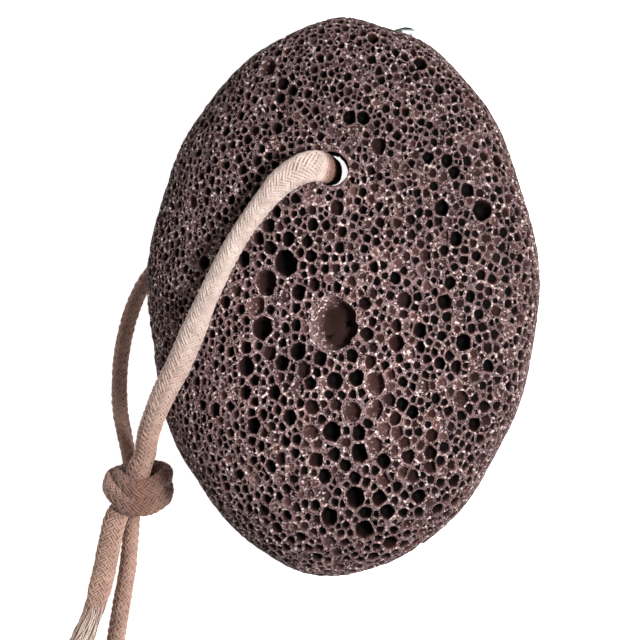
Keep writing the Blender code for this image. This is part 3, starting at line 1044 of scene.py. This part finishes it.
def runs_of(points):
    """How far along the path each of its points lies."""
    return np.concatenate([[0.0], np.cumsum(np.linalg.norm(np.diff(points, axis=0), axis=1))])


def from_table(runs, table):
    """Values along a path from a table of (millimetres, value)."""
    return np.interp(runs / MM, *zip(*table))


def oval(sides, first, across, rise):
    """Rings of points round a path, from its side and up directions."""
    angles = np.arange(sides) * math.tau / sides + first
    return (np.cos(angles)[None, :, None] * across[:, None, :]
            + np.sin(angles)[None, :, None] * rise[:, None, :])


def smooth_route(route):
    """Evenly spaced points along the smooth curve through a route given in millimetres."""
    points = [np.array(point) * MM for point in route]
    guides = [2 * points[0] - points[1]] + points + [2 * points[-1] - points[-2]]
    dense = []
    for before, start, end, after in zip(guides, guides[1:], guides[2:], guides[3:]):
        for share in np.linspace(0, 1, 24, endpoint=False):
            bend = (2 * before - 5 * start + 4 * end - after) * share ** 2
            twist = (3 * start - before - 3 * end + after) * share ** 3
            dense.append(start + 0.5 * ((end - before) * share + bend + twist))
    dense = np.array(dense + [points[-1]])
    runs = runs_of(dense)
    places = np.linspace(0, runs[-1], max(2, round(runs[-1] / BRAID_STEP)) + 1)
    return np.stack([np.interp(places, runs, dense[:, axis]) for axis in range(3)], 1)


def carried_frames(points, side, start=0):
    """Side and up directions along a path, carried without twist from the point at start."""
    tangents = unit(np.gradient(points, axis=0))
    sides = np.zeros_like(points)
    for order in (range(start, len(points)), range(start, -1, -1)):
        current = np.array(side, float)
        for index in order:
            current = current - tangents[index] * current.dot(tangents[index])
            current /= np.linalg.norm(current)
            sides[index] = current
    return sides, np.cross(tangents, sides)


def wrapped_frames(points, axis_point, axis):
    """Side and up directions of a cord that lies flat round an axis."""
    tangents = unit(np.gradient(points, axis=0))
    arms = points - axis_point
    arms -= np.outer(arms @ axis, axis)
    up = square_to(tangents, arms)
    return np.cross(up, tangents), up


def turned(frames, angle):
    side, up = frames
    cos, sin = np.cos(angle)[:, None], np.sin(angle)[:, None]
    return cos * side + sin * up, cos * up - sin * side


class Yarns:
    """A cord's mesh as it grows: points, faces, UVs along each yarn, and each point's painted shade."""

    def __init__(self):
        self.verts, self.faces, self.uvs, self.dust = [], [], [], []

    def strand(self, path, outward, radius, sides, dust):
        """Adds a closed round strand along a path."""
        tangents = unit(np.gradient(path, axis=0))
        outward = square_to(tangents, outward)
        ring = oval(sides, math.pi / 2, np.cross(tangents, outward), outward)
        self.tube(path[:, None, :] + ring * radius, runs_of(path) / MM, dust)

    def tube(self, rings, runs, dust):
        """Adds a closed tube through rings of points."""
        steps, sides, _ = rings.shape
        first = len(self.verts)
        self.verts.extend(rings.reshape(-1, 3).tolist())
        self.dust.extend(np.repeat(dust, sides).tolist())
        for step in range(steps - 1):
            for side in range(sides):
                after = (side + 1) % sides
                a, b = first + step * sides, first + (step + 1) * sides
                self.faces.append((a + side, a + after, b + after, b + side))
                u0, u1 = side / sides, (side + 1) / sides
                v0, v1 = runs[step], runs[step + 1]
                self.uvs.extend(((u0, v0), (u1, v0), (u1, v1), (u0, v1)))
        for start, turn in ((first, -1), (first + (steps - 1) * sides, 1)):
            self.faces.append(tuple([start + side for side in range(sides)][::turn]))
            self.uvs.extend([(0.5, 0.0)] * sides)

    def braid(self, points, frames, swell, dust, roundness=1.0):
        """A hollow braid of paired yarns, two over and two under, round a soft core."""
        side, up = frames
        up = up * np.broadcast_to(roundness, len(points))[:, None]
        runs = runs_of(points)
        turn = CARRIERS * STITCH
        chance = random.Random(CORD_SEED)
        for way in (1, -1):
            for carrier in range(CARRIERS):
                crossing = 2 * CARRIERS * runs / turn
                state = 2 * carrier + crossing if way > 0 else 2 * carrier - crossing + 2
                height = OVER_UNDER * np.clip(1.5 * np.cos(math.tau * (state - 0.5) / 4), -1, 1)
                height *= np.interp(dust, (0.0, 0.25), (FLUFFY_RELIEF, 1.0))
                for pair in (-1, 1):
                    angle = math.tau * (carrier / CARRIERS + way * runs / turn)
                    angle += pair * PAIR_SPREAD * chance.uniform(0.9, 1.1)
                    slack = 0.04 * MM * np.sin(runs / (3.1 * MM) + chance.uniform(0, math.tau))
                    across = np.cos(angle)[:, None] * side
                    rise = np.sin(angle)[:, None] * up
                    centre = points + (across * BRAID_ACROSS + rise * BRAID_UP) * swell[:, None]
                    outward = unit(across / BRAID_ACROSS + rise / BRAID_UP)
                    centre += outward * (height + slack)[:, None]
                    thick = YARN_RADIUS * chance.uniform(0.94, 1.08)
                    self.strand(centre, outward, thick, YARN_SIDES, dust)
        ring = oval(CORE_SIDES, 0.0, side * (BRAID_ACROSS - CORE_GAP), up * (BRAID_UP - CORE_GAP))
        self.tube(points[:, None, :] + ring * swell[:, None, None], runs / MM, dust)

    def fray(self, points, frames, spread, seed):
        """Loose yarns that come out of the braid's end and wander along the path."""
        side, up = frames
        chance = random.Random(seed)
        share = runs_of(points)
        share = share / share[-1]
        for _ in range(FRAY_STRANDS):
            angle = chance.uniform(0, math.tau)
            reach = math.sqrt(chance.uniform(0.15, 1.0))
            out = reach * (1 + spread * share * chance.uniform(0.0, 1.0))
            turn = angle + share * chance.uniform(-1.5, 1.5)
            wave = 0.26 * MM * np.sin(share * chance.uniform(7, 19) + chance.uniform(0, math.tau))
            across = (np.cos(turn) * out * BRAID_ACROSS + wave * (0.25 + share))[:, None] * side
            rise = (np.sin(turn) * out * BRAID_UP + 0.5 * wave * share)[:, None] * up
            path = points + across + rise
            path[:, 2] = np.maximum(path[:, 2], 0.2 * MM)
            last = max(4, int(len(path) * (1 - 0.45 * chance.random() ** 2)))
            thick = chance.uniform(0.06, 0.13) * MM
            # the loose yarns lose the braid's painted shade and grow paler towards their ends
            dust = np.interp(share, (0.1, 0.5), (0.26, -chance.uniform(-0.2, 1.0)))
            self.strand(path[:last], unit(across + rise + 1e-9 * up)[:last], thick, 4, dust[:last])

    def piece(self, name, material):
        piece = new_piece(name, self.verts, self.faces, material, True, dust=self.dust)
        layer = piece.data.uv_layers.new(name="UVMap")
        layer.data.foreach_set("uv", np.array(self.uvs, np.float32).ravel())
        return piece


def cotton_material():
    """Undyed cotton yarn, braided: warm off-white, matte, with a fine twist in each yarn.

    The braid carries painted shade: brown inside the hole, darker in and near the knot and on the
    strand underneath. Its undone ends are paler.
    """
    look = Look("undyed cotton yarn, braided")
    dust = look.attribute("dust")
    cloud = look.noise(look.place(), 450.0, 4.0)
    shade = look.ramp(cloud, (0.30, "B5A198"), (0.52, "C6B2A9"), (0.72, "D2C1B8"))
    painted_shading = look.ramp(dust, (0.0, "FFFFFF"), (0.25, "E6D2C8"), (0.62, "B19D99"), (1.0, "9D7B60"))
    dusty = look.mix(1.0, shade, painted_shading, "MULTIPLY")
    ends = look.mix(look.remap(dust, 0.0, -1.0, high=0.8), dusty, colour("F4E0CC"))

    # painted shade darkens the yarns towards the creases between them, and their fibres lie at a slant
    split = look.add("SeparateXYZ", {0: look.place("UV")}).outputs
    outwards = look.math("COSINE", look.math("MULTIPLY", split["X"], math.tau))
    crease_shade = look.ramp(outwards, (0.0, "B98D73"), (0.45, "E9CFBD"), (0.85, "FFFFFF"))
    crease_shaded = look.mix(look.remap(dust, 0.0, 0.25, low=0.26), ends, crease_shade, "MULTIPLY")
    twist = look.math("ADD", look.math("MULTIPLY", split["Y"], FIBRE_TURNS), split["X"])
    wave = look.math("SINE", look.math("MULTIPLY", twist, math.tau))
    return look.finish({"Base Color": crease_shaded, "Roughness": 0.92, "Specular IOR Level": 0.25,
                        "Sheen Weight": 0.15, "Normal": look.bump(wave, 0.5, 0.03 * MM)})


def nearest(points, x, y):
    return int(np.argmin(np.hypot(points[:, 0] - x * MM, points[:, 1] - y * MM)))


def rested(points, angle, swell):
    """The path raised where the braid would otherwise sink into the floor."""
    half = np.hypot(BRAID_ACROSS * np.sin(angle), BRAID_UP * np.cos(angle)) * swell
    points = points.copy()
    points[:, 2] = np.maximum(points[:, 2], half + YARN_RADIUS + OVER_UNDER + 0.05 * MM)
    return points


def make_loop(material):
    points = smooth_route(LOOP_ROUTE)
    runs = runs_of(points)
    left = runs[-1] - runs
    hole = int(np.argmin(np.abs(points[:, 2] - IN_HOLE_Z) + np.abs(points[:, 0] - IN_HOLE_X)))
    turn_start, turn_end = (runs[hole + nearest(points[hole:], *place)]
                            for place in (TURN_START, TURN_END))
    share = np.clip((runs - turn_start) / (turn_end - turn_start), 0, 1)
    swell = from_table(runs, LOOP_SWELL) * from_table(left, LOOP_END_SWELL)
    points = rested(points, math.pi / 2 * share, swell)
    frames = turned(carried_frames(points, (0, -1, 0), hole), math.pi / 2 * share)
    # painted shade inside the hole, on the strand near the knot, on the strand underneath and at the
    # loop's end by the knot
    in_hole = np.exp(-((points[:, 0] - IN_HOLE_X) / (4.5 * MM)) ** 2)
    in_hole *= np.clip((SHADED_BELOW - points[:, 2]) / (2.5 * MM), 0, 1)
    strand_shade = 0.45 * np.clip(1 - runs / (9 * MM), 0, 1) + 0.4 * np.clip(1 - runs / (42 * MM), 0, 1)
    strand_shade = strand_shade + BACK_SHADE * share + 0.15 * np.clip(1 - left / (12 * MM), 0, 1)
    yarns = Yarns()
    roundness = from_table(runs, LOOP_ROUNDNESS)
    yarns.braid(points, frames, swell, np.clip(in_hole + strand_shade, 0, 1), roundness)
    return yarns.piece("cord_loop_braid", material), points


def make_tail(name, route, turn, painted_shading, fray_length, spread, seed, material):
    points = smooth_route(route)
    runs = runs_of(points)
    undone = int(np.argmin(np.abs(runs - (runs[-1] - fray_length))))
    swell = from_table(runs, TAIL_SWELL)
    angle = np.radians(np.interp(runs / MM, TAIL_TURN, turn))
    points = rested(points, angle, swell)
    frames = turned(carried_frames(points, (1, 0, 0)), angle)
    # painted shade on the tail, more near the knot
    dust = painted_shading + 0.22 * np.clip(1 - runs / (8 * MM), 0, 1)
    end = runs[undone] / MM
    swell = swell * from_table(runs, ((end - 3, 1.0), (end, UNDONE_SWELL)))
    yarns = Yarns()
    shut = slice(0, undone + 2)
    yarns.braid(points[shut], [frame[shut] for frame in frames], swell[shut], dust[shut])
    loose = slice(max(0, undone - 8), None)
    yarns.fray(points[loose], [frame[loose] for frame in frames], spread, seed)
    middle_of_ends = undone + int(0.8 * (len(points) - undone))
    return yarns.piece(name, material), points[:middle_of_ends]


def make_knot(material):
    points = rested(smooth_route(KNOT_ROUTE), 0.0, KNOT_SWELL)
    frames = wrapped_frames(points, np.array(KNOT_MIDDLE), np.array((0.0, 1.0, 0.0)))
    yarns = Yarns()
    # painted shade on the knot, darkest in its middle and lightest on its left
    painted_shading = from_table(points[:, 0], KNOT_SHADE)
    yarns.braid(points, frames, np.full(len(points), KNOT_SWELL), painted_shading)
    return yarns.piece("cord_knot_braid", material)


def dress_cord(piece, node):
    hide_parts(node)
    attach(piece, "root")


# Studio


def make_camera():
    data = bpy.data.cameras.new("camera")
    data.sensor_width = SENSOR_WIDTH
    data.lens = SENSOR_WIDTH * (CAMERA_HEIGHT - VIEW_LEVEL) / VIEW_WIDTH
    data.clip_start = 0.01
    camera = bpy.data.objects.new("camera", data)
    camera.location = VIEW_MIDDLE + Vector((0, 0, CAMERA_HEIGHT))
    bpy.context.scene.collection.objects.link(camera)
    bpy.context.scene.camera = camera


def make_light(name, place, size, power):
    data = bpy.data.lights.new(name, "AREA")
    data.size = size
    data.energy = power
    light = bpy.data.objects.new(name, data)
    light.location = place
    light.rotation_euler = (-Vector(place)).to_track_quat("-Z", "Y").to_euler()
    bpy.context.scene.collection.objects.link(light)


def make_studio():
    scene = bpy.context.scene
    scene.view_settings.view_transform = "Standard"
    world = bpy.data.worlds.new("studio")
    world.use_nodes = True
    sky = world.node_tree.nodes["Background"].inputs
    sky["Color"].default_value = colour("FFFFFF")
    sky["Strength"].default_value = SKY_STRENGTH
    scene.world = world
    for light in LIGHTS:
        make_light(*light)
    bpy.ops.object.select_all(action="DESELECT")
    bpy.ops.mesh.primitive_plane_add(size=4.0)
    floor = bpy.context.object
    floor.name = "floor"
    floor.data.materials.append(Look("white paper").finish({
        "Base Color": colour("F6F6F6"), "Roughness": 0.9, "Emission Color": colour("FFFFFF"),
        "Emission Strength": FLOOR_GLOW}))


def main():
    make_camera()
    cotton = cotton_material()
    knot = make_knot(cotton)
    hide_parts("cord_knot")
    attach(knot, "root")
    loop, loop_points = make_loop(cotton)
    dress_cord(loop, "cord_loop")
    # each tail: node, route, turn, painted shade, length undone, spread of its loose yarns and seed
    tails = (
        ("cord_tail_left", LEFT_TAIL_ROUTE, (10, 0), 0.24, LEFT_FRAY, 0.45, 21),
        ("cord_tail_right", RIGHT_TAIL_ROUTE, (80, 58), 0.34, RIGHT_FRAY, 0.15, 22),
    )
    for node, route, turn, painted_shading, fray_length, spread, seed in tails:
        tail, tail_points = make_tail(node + "_braid", route, turn, painted_shading, fray_length, spread, seed,
                                      cotton)
        dress_cord(tail, node)
    make_stone(lava_material())
    make_sliver(glass_material())
    make_studio()


main()
